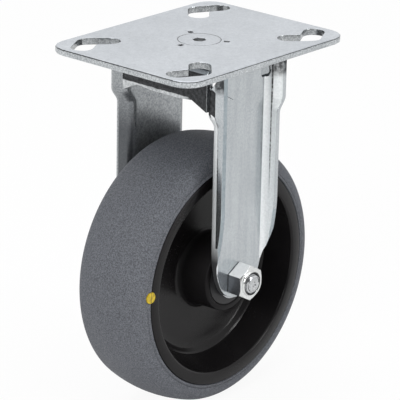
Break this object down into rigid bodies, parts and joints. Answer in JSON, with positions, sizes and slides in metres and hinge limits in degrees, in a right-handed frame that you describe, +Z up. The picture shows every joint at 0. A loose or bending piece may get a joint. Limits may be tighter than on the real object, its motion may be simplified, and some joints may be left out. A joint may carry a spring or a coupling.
{
  "type": "fixed castor",
  "caption": "Fixed castor: slotted top plate, riveted pressed fork, dark dished wheel centre with a grey tyre, axle bolt and lock nut.",
  "frame": {"origin": "on the ground under the middle of the wheel", "axes": "+Z up, out of the top plate; +X along the rolling direction; +Y along the axle, away from the nut"},
  "size_m": [0.16, 0.108, 0.2185],
  "materials": {
    "plated_steel": "bright zinc plating over pressed sheet steel",
    "plated_fastener": "bright zinc plating",
    "bearing_steel": "ground bearing steel",
    "black_plastic": "black moulded plastic with a soft gloss",
    "grey_rubber": "matt dark grey elastic tyre with a fine grain",
    "yellow_plastic": "yellow marker plastic",
    "seal_plastic": "dark moulded plastic"
  },
  "bodies": {
    "bracket": {"top_plate": "plated_steel", "fork": "plated_steel", "king_rivet": "plated_fastener", "axle_bolt": "plated_fastener", "axle_nut": "plated_fastener", "nut_locking_ring": "seal_plastic", "axle_tube": "bearing_steel", "near_spacer_washer": "bearing_steel", "far_spacer_washer": "bearing_steel"},
    "wheel": {"tyre": "grey_rubber", "wheel_centre": "black_plastic", "marker_plug": "yellow_plastic", "bearing_sleeve": "bearing_steel", "near_hub_seal": "seal_plastic", "far_hub_seal": "seal_plastic"},
    "cage": {"roller_cage": "seal_plastic"},
    "roller_body_1": {"roller_1": "bearing_steel"},
    "roller_body_2": {"roller_2": "bearing_steel"},
    "roller_body_3": {"roller_3": "bearing_steel"},
    "roller_body_4": {"roller_4": "bearing_steel"},
    "roller_body_5": {"roller_5": "bearing_steel"},
    "roller_body_6": {"roller_6": "bearing_steel"},
    "roller_body_7": {"roller_7": "bearing_steel"},
    "roller_body_8": {"roller_8": "bearing_steel"},
    "roller_body_9": {"roller_9": "bearing_steel"},
    "roller_body_10": {"roller_10": "bearing_steel"}
  },
  "joints": [
    {"name": "wheel_spin", "type": "hinge", "parent": "bracket", "child": "wheel", "pos_m": [0, 0, 0.08], "axis": [0, 1, 0], "continuous": true},
    {"name": "cage_spin", "type": "hinge", "parent": "bracket", "child": "cage", "pos_m": [0, 0, 0.08], "axis": [0, 1, 0], "continuous": true},
    {"name": "roller_1_spin", "type": "hinge", "parent": "cage", "child": "roller_body_1", "pos_m": [0.0128, 0, 0.08], "axis": [0, 1, 0], "continuous": true},
    {"name": "roller_2_spin", "type": "hinge", "parent": "cage", "child": "roller_body_2", "pos_m": [0.01035, 0, 0.07248], "axis": [0, 1, 0], "continuous": true},
    {"name": "roller_3_spin", "type": "hinge", "parent": "cage", "child": "roller_body_3", "pos_m": [0.00396, 0, 0.06783], "axis": [0, 1, 0], "continuous": true},
    {"name": "roller_4_spin", "type": "hinge", "parent": "cage", "child": "roller_body_4", "pos_m": [-0.00396, 0, 0.06783], "axis": [0, 1, 0], "continuous": true},
    {"name": "roller_5_spin", "type": "hinge", "parent": "cage", "child": "roller_body_5", "pos_m": [-0.01035, 0, 0.07248], "axis": [0, 1, 0], "continuous": true},
    {"name": "roller_6_spin", "type": "hinge", "parent": "cage", "child": "roller_body_6", "pos_m": [-0.0128, 0, 0.08], "axis": [0, 1, 0], "continuous": true},
    {"name": "roller_7_spin", "type": "hinge", "parent": "cage", "child": "roller_body_7", "pos_m": [-0.01035, 0, 0.08752], "axis": [0, 1, 0], "continuous": true},
    {"name": "roller_8_spin", "type": "hinge", "parent": "cage", "child": "roller_body_8", "pos_m": [-0.00396, 0, 0.09217], "axis": [0, 1, 0], "continuous": true},
    {"name": "roller_9_spin", "type": "hinge", "parent": "cage", "child": "roller_body_9", "pos_m": [0.00396, 0, 0.09217], "axis": [0, 1, 0], "continuous": true},
    {"name": "roller_10_spin", "type": "hinge", "parent": "cage", "child": "roller_body_10", "pos_m": [0.01035, 0, 0.08752], "axis": [0, 1, 0], "continuous": true}
  ],
  "couplings": [
    {"joint": "cage_spin", "follows": "wheel_spin", "ratio": 0.59766},
    {"joint": "roller_1_spin", "follows": "wheel_spin", "ratio": 2.4623},
    {"joint": "roller_2_spin", "follows": "wheel_spin", "ratio": 2.4623},
    {"joint": "roller_3_spin", "follows": "wheel_spin", "ratio": 2.4623},
    {"joint": "roller_4_spin", "follows": "wheel_spin", "ratio": 2.4623},
    {"joint": "roller_5_spin", "follows": "wheel_spin", "ratio": 2.4623},
    {"joint": "roller_6_spin", "follows": "wheel_spin", "ratio": 2.4623},
    {"joint": "roller_7_spin", "follows": "wheel_spin", "ratio": 2.4623},
    {"joint": "roller_8_spin", "follows": "wheel_spin", "ratio": 2.4623},
    {"joint": "roller_9_spin", "follows": "wheel_spin", "ratio": 2.4623},
    {"joint": "roller_10_spin", "follows": "wheel_spin", "ratio": 2.4623}
  ]
}
